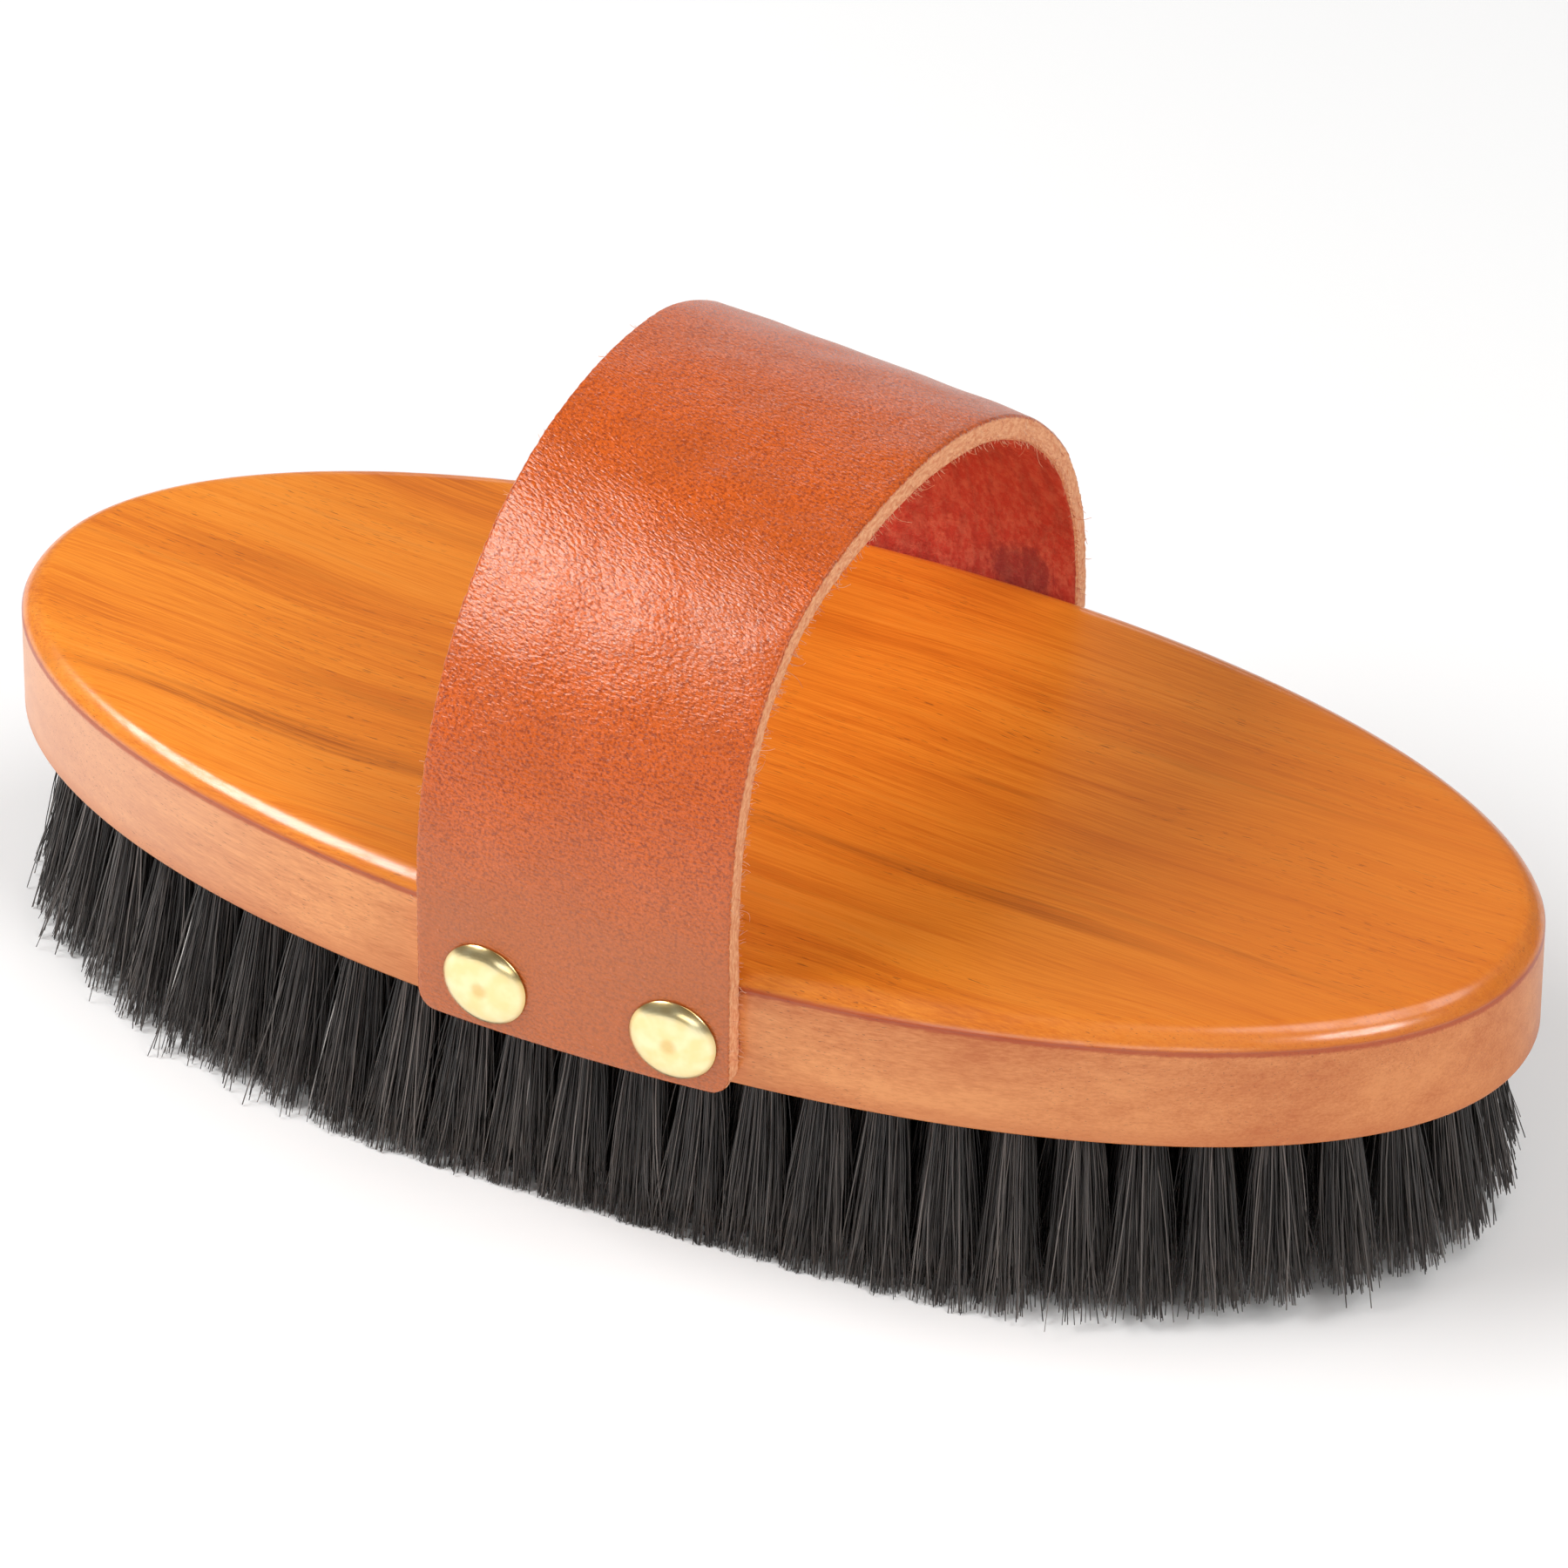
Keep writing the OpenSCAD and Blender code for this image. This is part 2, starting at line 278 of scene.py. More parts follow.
def strandMap(count, steps):
    # every strand has a cell of its own in the map: three strips for its sides, then two small ends
    cells = math.ceil(math.sqrt(count))
    cell = np.stack([np.arange(count) % cells, np.arange(count) // cells], -1)
    margin, stripWide, stripHigh = 0.05, 0.3, 0.8
    u0 = np.arange(3)[None, None, :] * stripWide + margin
    v0 = np.arange(steps - 1)[None, :, None] / (steps - 1) * stripHigh + margin
    u1, v1 = u0 + stripWide, v0 + stripHigh / (steps - 1)
    shape = (count, steps - 1, 3)
    corners = [np.stack([np.broadcast_to(u, shape), np.broadcast_to(v, shape)], -1)
               for u, v in ((u0, v0), (u1, v0), (u1, v1), (u0, v1))]
    sides = (np.stack(corners, 3) + cell[:, None, None, None, :]) / cells
    ends = []
    for endStart in (0.1, 0.55):
        triangle = np.array([[endStart, 0.88], [endStart + 0.3, 0.88], [endStart + 0.15, 0.96]])
        ends.append((triangle[None] + cell[:, None, :]) / cells)
    return np.concatenate([sides.reshape(-1, 2), ends[0].reshape(-1, 2), ends[1].reshape(-1, 2)])


backLow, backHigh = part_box("brush_back")
backSpec = {
    "fullness": 2.07,        # 2 is a true ellipse, more is squarer
    "topRound": 2.7 * mm,    # height of the round along the upper edge
    "roundStart": 20.0,      # degrees that the round already leans where it leaves the wall
    "lowRound": 0.8 * mm,
    "lineBand": 0.15 * mm,   # a narrow ring that keeps the line at the top of the wall crisp
    "around": 300,           # points round the oval
    "roundSteps": 14, "wallRows": 12, "flatRings": 26,
    "grainSlope": -0.07,     # how far the grain runs off the long axis
    "smoke": [               # dark streaks in the wood: x, y, half length, half width, depth of tone
        (-60, -23.5, 42, 2.6, 0.80),
        (-42, -13, 26, 3.4, 0.42),
        (-38, -3, 22, 1.8, 0.42),
        (-72, 8, 22, 1.6, 0.30),
        (-46, 22, 32, 2.0, 0.35),
        (34, -18.5, 44, 2.0, 0.62),
        (18, -27, 26, 1.5, 0.35),
        (70, -17, 34, 1.3, 0.35),
        (31, 3, 8, 0.8, 0.45),
        (64, 16, 30, 1.4, 0.30),
    ],
}
halfLength = (backHigh.x - backLow.x) / 2
halfWidth = (backHigh.y - backLow.y) / 2
backBottom, backTop = backLow.z, backHigh.z
fullness = backSpec["fullness"]


def ovalY(x, a=halfLength, b=halfWidth):
    return b * (1 - (np.abs(x) / a) ** fullness) ** (1 / fullness)


def wallNormal(x, side):
    y = ovalY(x)
    slope = Vector((math.copysign((abs(x) / halfLength) ** (fullness - 1), x) / halfLength,
                    side * (y / halfWidth) ** (fullness - 1) / halfWidth, 0))
    return slope.normalized()


def ovalRing(inset, height, share=1.0):
    turns = np.linspace(0, 2 * math.pi, backSpec["around"], endpoint=False)
    cos, sin = np.cos(turns), np.sin(turns)
    x = (halfLength - inset) * np.sign(cos) * np.abs(cos) ** (2 / fullness) * share
    y = (halfWidth - inset) * np.sign(sin) * np.abs(sin) ** (2 / fullness) * share
    return np.column_stack([x, y, np.full_like(x, height)])


woodTones = {                # red, green and blue as seen on a screen
    "deep": (188, 94, 22), "mid": (216, 117, 28), "bright": (232, 136, 38), "pale": (240, 152, 58),
    "dull": (200, 106, 34), "line": (172, 84, 24), "smoke": (154, 68, 10), "pore": (92, 46, 26),
    "pooled": (166, 54, 8), "wallDeep": (190, 102, 46), "wallPale": (234, 156, 94),
    "wallPaleReflection": (226, 176, 146),
}


def lacqueredWood():
    wood = Recipe("lacqueredWood")
    place = wood.place()
    x, y, z = wood.parts(place)
    drift = wood.cloud(wood.vector(x * 0.012, y * 0.03, z * 0.03), detail=2) - 0.5
    across = y - x * backSpec["grainSlope"] + drift * 9.0
    across = across + 2.2 * x.rise(-88, -48)
    bands = wood.cloud(wood.vector(x * 0.006, across * 0.09, z * 0.09), detail=3, roughness=0.55)
    streaks = wood.cloud(wood.vector(x * 0.012, across * 0.65, z * 0.65), detail=5, roughness=0.65)
    fibres = wood.cloud(wood.vector(x * 0.055, across * 3.2, z * 3.2), detail=3, roughness=0.65)
    threads = wood.cloud(wood.vector(x * 0.17, across * 5.5, z * 5.5), detail=2, roughness=0.6)
    pores = wood.cloud(wood.vector(x * 0.42, across * 5.5, z * 5.5), detail=1)
    poreField = wood.cloud(wood.vector(x * 0.03, across * 0.08, z * 0.08), detail=1)
    dashes = pores.rise(0.66, 0.74) * poreField.rise(0.40, 0.60)

    tone = 0.26 * bands + 0.30 * streaks + 0.26 * fibres + 0.18 * threads
    top = wood.ramp(tone, [
        (0.34, srgb(*woodTones["deep"])), (0.45, srgb(*woodTones["mid"])),
        (0.54, srgb(*woodTones["bright"])), (0.68, srgb(*woodTones["pale"]))])
    top = wood.mix((x + drift * 30.0).rise(30, 75) * 0.55, top, srgb(*woodTones["dull"]))
    thinLines = streaks.rise(0.56, 0.72) * (0.35 + 0.65 * fibres.rise(0.40, 0.62))
    top = wood.mix(thinLines * 0.45, top, srgb(*woodTones["line"]))
    ragged = wood.cloud(wood.vector(x * 0.03, across * 0.9, z * 0.9), detail=3) - 0.5
    for sx, sy, halfRun, halfSpread, depth in backSpec["smoke"]:
        startAcross = sy - sx * backSpec["grainSlope"]
        away = (y - x * backSpec["grainSlope"] - startAcross + drift * 5.0 + ragged * 5.0) / halfSpread
        along = (x - sx) / halfRun
        reach = (away * away + along * along) ** 0.5
        lines = streaks.rise(0.38, 0.58) * 0.55 + fibres.rise(0.44, 0.58) * 0.45
        top = wood.mix(reach.rise(1.2, 0.25) * depth * lines, top, srgb(*woodTones["smoke"]))
    below = backTop / mm - z
    wallTone = wood.ramp(0.45 * bands + 0.25 * streaks + 0.3 * fibres, [
        (0.38, srgb(*woodTones["wallDeep"])), (0.60, srgb(*woodTones["wallPale"]))])
    wallTone = wood.mix((x + drift * 30.0).rise(0, 95) * 0.4, wallTone, srgb(*woodTones["wallDeep"]))
    # painted reflection: the wall turns pale pink towards the left end, standing for the light mirrored
    # there
    wallTone = wood.mix((x + drift * 30.0).rise(-30, -98) * 0.6, wallTone, srgb(*woodTones["wallPaleReflection"]))
    edgeWander = below + drift * 1.2 + (fibres - 0.5) * 0.5
    colour = wood.mix(edgeWander.rise(1.6, 3.4), top, wallTone)
    pooled = edgeWander.rise(2.0, 2.6) * edgeWander.rise(3.5, 2.9)
    colour = wood.mix(pooled * 0.75, colour, srgb(*woodTones["pooled"]))
    colour = wood.mix(edgeWander.rise(14.5, 18.0) * 0.45, colour, srgb(*woodTones["wallDeep"]))
    colour = wood.mix(dashes * 0.52, colour, srgb(*woodTones["pore"]))

    onRound = below.rise(0.03, 0.4) * below.rise(2.8, 2.5)
    worn = wood.cloud(wood.vector(x * 0.16, y * 0.16, z * 0.8), detail=4, roughness=0.65).rise(0.34, 0.56)
    lacquer = 0.34 + (0.04 + 0.34 * worn) * onRound
    relief = fibres * 0.5 + streaks * 0.5 - dashes * 0.6
    normal = wood.bump(relief, 0.05 * mm, 0.35)
    ripple = wood.cloud(place, scale=0.11, detail=2)
    speck = wood.cells(place, scale=0.16).rise(0.10, 0.03)
    normal = wood.bump(ripple + speck * 0.2, 0.12 * mm, 0.5, normal)
    sanded = wood.cloud(wood.vector(x * 0.35, y * 0.35, z * 0.9), detail=3, roughness=0.6)
    normal = wood.bump(sanded * onRound, 0.30 * mm, 0.7, normal)
    return wood.finish(
        Base_Color=colour, Roughness=0.42 + 0.14 * fibres, Normal=normal,
        Coat_Weight=lacquer, Coat_Roughness=0.21, Coat_IOR=1.85,
        IOR=1.45, Specular_IOR_Level=0.15)


def makeBack():
    spec = backSpec
    rounding, lowRound, steps = spec["topRound"], spec["lowRound"], spec["roundSteps"]
    shares = np.linspace(0.04, 1.0, spec["flatRings"])
    rings = [ovalRing(lowRound, backBottom, share) for share in shares]
    for step in range(1, steps):
        turn = math.pi / 2 * step / (steps - 1)
        inset = lowRound * (1 - math.sin(turn))
        rings.append(ovalRing(inset, backBottom + lowRound * (1 - math.cos(turn))))
    wallStart, wallEnd, rows = backBottom + lowRound, backTop - rounding, spec["wallRows"]
    rings += [ovalRing(0, between(wallStart, wallEnd, row / rows)) for row in range(1, rows)]
    rings += [ovalRing(0, wallEnd - spec["lineBand"]), ovalRing(0, wallEnd)]
    # the round is an arc that leaves the wall at a lean and ends level with the top
    start = math.radians(spec["roundStart"])
    radius = rounding / (1 - math.sin(start))
    for step in range(1, steps + 1):
        turn = between(start, math.pi / 2, step / steps)
        inset = radius * (math.cos(start) - math.cos(turn))
        rings.append(ovalRing(inset, backTop - radius * (1 - math.sin(turn))))
    across = radius * math.cos(start)
    rings += [ovalRing(across, backTop, share) for share in shares[::-1][1:]]
    count = spec["around"]
    faces = stitchRings(len(rings), count)
    last = (len(rings) - 1) * count
    faces.append(tuple(range(count))[::-1])
    faces.append(tuple(range(last, last + count)))
    piece = addMesh("woodBack", np.vstack(rings), faces, lacqueredWood())
    standFor(piece, "brush_back")


strapSpec = {
    "width": 44 * mm, "thick": 3.4 * mm, "fit": 0.1 * mm,
    "frontX": -5.4 * mm, "rearX": 1.2 * mm,
    "crownDrop": 2.4 * mm, "crownLean": 13 * mm,
    "shoulderLeft": 2.2, "shoulderRight": 2.7, "shoulderRear": 2.15,
    "footLift": 0.6 * mm, "footCorner": 3 * mm,
    "edgeRound": 0.55 * mm,   # how far the cut edges are worn round
    "edgeRough": 0.16 * mm, "edgeDrawn": 0.05 * mm, "fleshRough": 0.10 * mm, "roughSize": 0.55 * mm,
    "swell": 0.18 * mm, "swellSize": 7.0 * mm,
    "cutBand": 0.45 * mm, "cutFade": 0.35 * mm,   # how far in from the sides the cut edge's finish reaches
    "endBand": 0.12 * mm, "fleshBand": 0.25 * mm,
    "archRows": 380, "footRows": 34, "faceColumns": 44,
    "footCrowd": 1.35,        # 1 spaces the rows of a foot evenly, more crowds them to its end
    "archBegin": 6 * mm,      # height over the back at which the strap swells freely
}
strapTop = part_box("hand_strap")[1].z
strapGrow = strapSpec["thick"] + strapSpec["fit"]


def strapFace(turn, across, drop):
    # grain face of the strap: turn runs over the arch from 0 at the front to pi at the rear
    s = strapSpec
    x = between(s["frontX"], s["rearX"], (1 - np.cos(turn)) / 2) + (across - 0.5) * s["width"]
    crownY = -s["crownLean"] * across
    crownZ = strapTop - s["crownDrop"] * across
    ahead = turn < math.pi / 2
    shoulder = np.where(ahead, between(s["shoulderLeft"], s["shoulderRight"], across), s["shoulderRear"])
    wallY = np.where(ahead, front, rear) * ovalY(x, halfLength + strapGrow, halfWidth + strapGrow)
    out = np.abs(np.cos(turn)) ** (2 / shoulder)
    up = np.abs(np.sin(turn)) ** (2 / shoulder)
    return np.stack([x, between(crownY, wallY, out), between(backTop, crownZ, up) - drop], -1)


def strapRows():
    # evenly spaced rows: turn over the arch, drop below its start, place along the strap,
    # and height over the end of the foot
    fine = np.linspace(0, math.pi, 6001)
    middle = strapFace(fine, np.full_like(fine, 0.5), 0.0)
    run = np.concatenate([[0], np.cumsum(np.linalg.norm(np.diff(middle, axis=0), axis=1))])
    archRun = run[-1]
    turns = np.interp(np.linspace(0, archRun, strapSpec["archRows"]), run, fine)
    footDrop = backTop - (backBottom + strapSpec["footLift"])
    # rows crowd together towards the rounded end of each foot
    steps = np.linspace(0, 1, strapSpec["footRows"] + 1)[1:]
    heights = footDrop * (1 - steps) ** strapSpec["footCrowd"]
    rows = [(0.0, footDrop - h, -(footDrop - h), h) for h in heights[::-1]]
    rows += [(t, 0.0, r, footDrop) for t, r in zip(turns, np.linspace(0, archRun, len(turns)))]
    rows += [(math.pi, footDrop - h, archRun + footDrop - h, h) for h in heights]
    return rows, archRun


def strapSection():
    # outline of the strap: place across from its middle, and depth below its grain face
    half, thick, r = strapSpec["width"] / 2, strapSpec["thick"], strapSpec["edgeRound"]
    flat = np.linspace(-1, 1, strapSpec["faceColumns"]) * (half - r)
    corner = [(r * math.sin(a), r * (1 - math.cos(a))) for a in np.linspace(0, math.pi / 2, 6)[1:]]
    side = [(half, d) for d in np.linspace(r, thick - r, 8)[1:-1]]
    ring = [(t, 0.0) for t in flat]
    ring += [(half - r + dx, dz) for dx, dz in corner]
    ring += side
    ring += [(half - r + dx, thick - dz) for dx, dz in corner[::-1]]
    ring += [(t, thick) for t in flat[::-1]]
    ring += [(-(half - r + dx), thick - dz) for dx, dz in corner]
    ring += [(-t, d) for t, d in side[::-1]]
    ring += [(-(half - r + dx), dz) for dx, dz in corner[::-1]]
    return np.array(ring)


def strapPlaces(turn, drop, widths, depths):
    # points at given places across and depths, for one row of the strap
    across = widths / strapSpec["width"] + 0.5
    turnHere = np.full_like(across, turn)
    face = strapFace(turnHere, across, drop)
    if drop > 0:
        tangent = np.array([0.0, 0.0, 1.0 if turn == 0 else -1.0])[None, :].repeat(len(across), 0)
    else:
        step = 0.004   # of the turn, to either side
        tangent = (strapFace(np.minimum(turnHere + step, math.pi), across, 0.0)
                   - strapFace(np.maximum(turnHere - step, 0), across, 0.0))
    inward = np.stack([np.zeros(len(across)), tangent[:, 2], -tangent[:, 1]], -1)
    inward /= np.linalg.norm(inward, axis=1)[:, None]
    return face + inward * depths[:, None], inward


leatherTones = {
    "orange": (214, 92, 8), "red": (140, 48, 4), "floorReflectionRose": (182, 102, 50), "brown": (154, 70, 22),
    "edge": (248, 188, 140), "edgeDark": (222, 140, 94), "fibre": (236, 190, 158),
    "flesh": (200, 62, 42), "fleshPale": (216, 104, 76), "fleshDark": (132, 34, 28),
    "cornerPatch": (116, 48, 52),
}


def strapLeather(archRun):
    hide = Recipe("strapLeather")
    strapPlace = hide.attribute("strapPlace").outputs["Vector"]
    along, across, depth = hide.parts(strapPlace)
    place = hide.place()
    speckle = hide.cloud(place, scale=2.5, detail=4, roughness=0.7)
    broad = hide.cloud(place, scale=0.07, detail=3)
    grain = hide.mix(speckle.rise(0.32, 0.59), srgb(*leatherTones["red"]), srgb(*leatherTones["orange"]))
    grain = hide.mix(broad.rise(0.35, 0.7) * 0.25, grain, srgb(*leatherTones["brown"]))
    # painted reflection: towards both feet the strap turns rose-brown, standing for the pale floor mirrored
    # in the lower leather
    footFloorReflection = along.rise(26, -4) + along.rise(archRun / mm - 26, archRun / mm + 4)
    grain = hide.mix(footFloorReflection * 0.55, grain, srgb(*leatherTones["floorReflectionRose"]))
    dust = hide.cloud(place, scale=2.2, detail=2).rise(0.60, 0.72)
    grain = hide.mix(dust * 0.20, grain, srgb(*leatherTones["red"]))

    layers = hide.cloud(hide.vector(along * 0.8, across * 1.0, depth * 1.9), detail=4, roughness=0.7)
    fleck = hide.cloud(place, scale=1.7, detail=3)
    edge = hide.mix(layers.rise(0.36, 0.66), srgb(*leatherTones["edgeDark"]), srgb(*leatherTones["edge"]))
    edge = hide.mix(fleck.rise(0.56, 0.70) * 0.45, edge, srgb(*leatherTones["edgeDark"]))

    nap = hide.cloud(hide.vector(along * 0.5, across * 0.9, depth), detail=4, roughness=0.7)
    flesh = hide.mix(nap.rise(0.38, 0.68), srgb(*leatherTones["flesh"]), srgb(*leatherTones["fleshPale"]))
    patches = hide.cloud(hide.vector(along * 0.10, across * 0.45, depth), detail=3)
    flesh = hide.mix(patches.rise(0.45, 0.66) * 0.30, flesh, srgb(*leatherTones["fleshDark"]))
    spots = hide.cells(place, scale=0.24).rise(0.17, 0.08) * hide.cloud(place, scale=0.09).rise(0.46, 0.56)
    flesh = hide.mix(spots * 0.8, flesh, srgb(*leatherTones["fleshDark"]))
    # a darker purple-brown patch on the flesh side, where the strap bends down over the rear edge of the
    # back
    cornerPatchAcross = (across - 14.0) / 4.6
    cornerPatchAlong = (along - archRun / mm + 1.0) / 4.4
    cornerPatch = ((cornerPatchAcross * cornerPatchAcross + cornerPatchAlong * cornerPatchAlong) ** 0.5 + (nap - 0.5) * 1.4).rise(1.2, 0.7)
    flesh = hide.mix(cornerPatch * 0.42, flesh, srgb(*leatherTones["cornerPatch"]))

    dyed = (depth + (fleck - 0.5) * 0.5).rise(0.18, 0.46)   # dye has run over the grain side's corner
    cut = (hide.number("cutShare") + (fleck - 0.5) * 0.5).rise(0.35, 0.60) * dyed
    inner = (hide.number("fleshShare") + (fleck - 0.5) * 0.35).rise(0.35, 0.62)
    colour = hide.mix(inner, grain, flesh)
    colour = hide.mix(cut, colour, edge)

    slant = across + along * 0.35
    pebble = hide.cells(hide.vector(along * 1.2, slant * 0.7, depth), scale=2.0)
    wrinkle = hide.cloud(hide.vector(along * 1.35, slant * 0.5, depth), scale=2.0, detail=3, roughness=0.55,
                         distortion=0.3)
    relief = (pebble * 0.45 + wrinkle) * (1 - inner) * (1 - cut) + (nap * 1.6 + fleck) * inner
    relief = relief + (layers * 1.4 + fleck) * cut
    normal = hide.bump(relief, 0.20 * mm, 0.75)
    swell = hide.cloud(place, scale=0.12, detail=2)
    normal = hide.bump(swell, 0.5 * mm, 0.5, normal)
    shine = 0.22 + 0.08 * speckle + 0.52 * inner + 0.5 * cut
    return hide.finish(
        Base_Color=colour, Roughness=shine.atMost(0.95), Normal=normal,
        Specular_IOR_Level=0.78, Specular_Tint=(1.0, 0.94, 0.85), IOR=1.5)


nailSpec = {
    "spacing": 26 * mm, "offset": 1.3 * mm, "height": 7.9 * mm, "fit": 0.05 * mm,
    "headWidth": 12 * mm, "headHeight": 1.7 * mm,
    "rimHeight": 0.16 * mm, "rimInset": 0.12 * mm,
    "dimple": 1.2 * mm, "dimpleDepth": 0.05 * mm,
    "ringAt": 1.75 * mm, "ringWidth": 0.4 * mm, "ringHeight": 0.02 * mm,   # faint, round the dimple
    "around": 96, "domeRings": 40,
}


def nailPlaces():
    # centre of each nail head on the wall of the back, with the way that it faces
    spec = nailSpec
    for side, sideName in ((front, "front"), (rear, "rear")):
        for end, endName in ((left, "left"), (right, "right")):
            foot = strapSpec["frontX"] if side == front else strapSpec["rearX"]
            x = foot + spec["offset"] + end * spec["spacing"] / 2
            out = wallNormal(x, side)
            wall = Vector((x, side * ovalY(x), backBottom + spec["height"]))
            yield f"{sideName}_{endName}", wall, out


def makeStrap():
    spec = strapSpec
    rows, archRun = strapRows()
    ring = strapSection()
    half, thick = spec["width"] / 2, spec["thick"]
    corner, endRound = spec["footCorner"], spec["edgeRound"]
    points, places, cuts, fleshes, pushes = [], [], [], [], []
    for turn, drop, along, height in rows:
        draw = 0.0
        if height < corner:
            draw = corner - math.sqrt(max(corner ** 2 - (corner - height) ** 2, 0.0))
        widths = ring[:, 0] * (1 - draw / half)
        thin = 0.0
        if height < endRound:
            thin = endRound - math.sqrt(max(endRound ** 2 - (endRound - height) ** 2, 0.0))
        depths = thin + ring[:, 1] * (1 - 2 * thin / thick)
        spots, inward = strapPlaces(turn, drop, widths, depths)
        points.append(spots)
        pushes.append(inward)
        places.append(np.column_stack([np.full(len(ring), along), widths, depths]))
        byEdge = np.clip((np.abs(ring[:, 0]) - (half - spec["cutBand"])) / spec["cutFade"], 0, 1)
        byEnd = 1.0 if height < spec["endBand"] else 0.0
        cuts.append(np.maximum(byEdge, byEnd))
        fleshes.append(np.where(ring[:, 1] > thick - spec["fleshBand"], 1.0, 0.0))
    points, pushes = np.vstack(points), np.vstack(pushes)
    places, cuts, fleshes = np.vstack(places), np.concatenate(cuts), np.concatenate(fleshes)

    # the cut edge and the flesh side are rough, and the grain face swells a little
    rough = unevenness(points, 1 / spec["roughSize"], 1)
    wide = unevenness(points, 1 / spec["swellSize"], 2)
    sideways = np.sign(places[:, 1]) * cuts
    points[:, 0] += sideways * (rough * spec["edgeRough"] - spec["edgeDrawn"])
    free = np.clip((points[:, 2] - backTop) / spec["archBegin"], 0, 1)
    points += pushes * (wide * spec["swell"] * free)[:, None]
    points -= pushes * (fleshes * rough * spec["fleshRough"] * free)[:, None]

    count = len(ring)
    faces = stitchRings(len(rows), count)
    columns = spec["faceColumns"]
    edgeCount = (count - 2 * columns) // 2
    # both ends close with strips from the grain face across to the flesh side
    opposite = 2 * columns + edgeCount - 1
    for base, outward in ((0, 1), ((len(rows) - 1) * count, -1)):
        for k in range(-edgeCount // 2, columns + edgeCount // 2 - 1):
            strip = [k, k + 1, opposite - (k + 1), opposite - k]
            strip = list(dict.fromkeys(base + place % count for place in strip))
            if len(strip) > 2:
                faces.append(tuple(strip[::-outward]))
    piece = addMesh("handStrap", points, [f[::-1] for f in faces], strapLeather(archRun))
    addVectors(piece, "strapPlace", places / mm)
    addNumbers(piece, "cutShare", cuts)
    addNumbers(piece, "fleshShare", fleshes)
    standFor(piece, "hand_strap")
    return rows


def fibreStuff():
    fibre = Recipe("leatherFibre")
    tone = fibre.number("strandTone")
    colour = fibre.mix(tone, srgb(*leatherTones["edgeDark"]), srgb(*leatherTones["fibre"]))
    grime = fibre.cloud(fibre.place(), scale=0.8, detail=2)
    colour = fibre.mix(grime.rise(0.45, 0.7) * 0.5, colour, srgb(*leatherTones["flesh"]))
    return fibre.finish(Base_Color=colour, Roughness=0.75 + 0.1 * tone)


fuzzSpec = {
    "seed": 41,
    "count": 1300, "curlCount": 34,
    "points": 6,
    "length": (0.35 * mm, 1.15 * mm), "curlLength": (1.2 * mm, 2.8 * mm),
    "bend": (0.2, 0.9), "curlBend": (0.8, 2.2),
    "radius": (0.035 * mm, 0.065 * mm), "curlRadius": 0.055 * mm,
    "fleshShare": 0.75,       # how many of them grow near the flesh side
    "clearOfEnd": 4 * mm,     # bare height at the end of each foot
    "clearOfBack": 1.5 * mm,  # below this height over the back they keep off the wood
    "rooted": 0.15 * mm,      # how deep in the cut edge they start
}


def makeFuzz(rows):
    # loose fibres that stand off the two cut edges, mostly on their flesh side
    spec = fuzzSpec
    random = np.random.default_rng(spec["seed"])
    half, thick = strapSpec["width"] / 2, strapSpec["thick"]
    freeRows = [row for row in rows if row[3] > spec["clearOfEnd"]]
    steps = np.linspace(0, 1, spec["points"])
    paths, radii = [], []
    total = spec["count"] + spec["curlCount"]
    for k in range(total):
        curl = k >= spec["count"]
        turn, drop, _, _ = freeRows[random.integers(len(freeRows))]
        side = random.choice([left, right])
        if random.random() < spec["fleshShare"]:
            depth = thick * (1 - 0.35 * random.random() ** 2)
        else:
            depth = thick * random.random()
        width = side * (half - spec["rooted"])
        spot, inward = strapPlaces(turn, drop, np.array([width]), np.array([depth]))
        spot, inward = spot[0], inward[0]
        if drop > 0 or spot[2] < backTop + spec["clearOfBack"]:
            inward = inward * 0.1
        length = random.uniform(*spec["curlLength" if curl else "length"])
        out = np.array([side, 0, 0]) * random.uniform(0.3, 1.0) + inward * random.uniform(0.1, 1.1)
        out = out + random.normal(0, 0.35, 3)
        out /= np.linalg.norm(out)
        turnAway = np.cross(out, random.normal(0, 1, 3))
        turnAway /= np.linalg.norm(turnAway)
        bend = random.uniform(*spec["curlBend" if curl else "bend"])
        path = spot + np.outer(steps * length, out)
        path = path + np.outer(steps ** 2 * length * bend * 0.45, turnAway)
        path = path + np.outer(np.sin(steps * math.pi) * length * 0.12 * bend, inward)
        paths.append(path)
        radius = spec["curlRadius"] if curl else random.uniform(*spec["radius"])
        radii.append(radius * (1 - 0.5 * steps))
    tones = random.random(total)
    piece = strands("strapFuzz", np.array(paths), np.array(radii), tones, fibreStuff(), random)
    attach(piece, "root")


